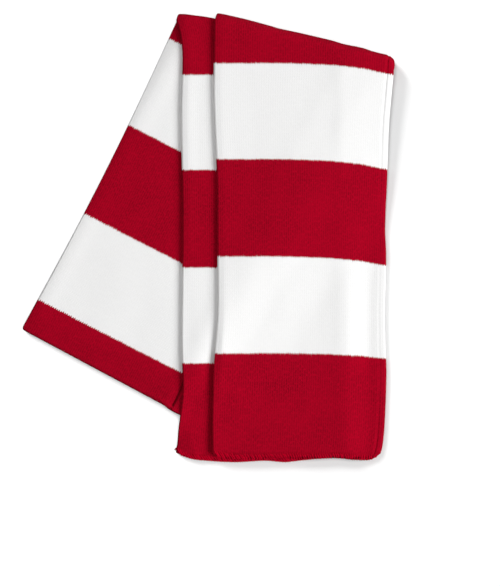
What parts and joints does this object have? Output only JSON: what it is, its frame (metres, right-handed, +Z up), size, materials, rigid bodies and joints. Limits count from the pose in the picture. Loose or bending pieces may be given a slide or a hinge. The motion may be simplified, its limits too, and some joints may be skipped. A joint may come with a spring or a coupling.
{
  "type": "folded knit scarf",
  "caption": "Long striped knit tube scarf, folded in half and over again so that two ends hang side by side, lying flat.",
  "frame": {"origin": "on the surface that the folded scarf lies on, under the middle of its bounding box", "axes": "+Y along the two hanging ends towards the top folds, +X towards the upper end's free side, +Z up from the surface"},
  "size_m": [0.3712, 0.448, 0.0169],
  "materials": {
    "knit_red": "soft matt acrylic knit, striped with white bars of the same knit"
  },
  "bodies": {
    "root": {"middle_back": "knit_red", "middle_front": "knit_red", "under_end": "knit_red", "upper_end": "knit_red"}
  },
  "joints": []
}
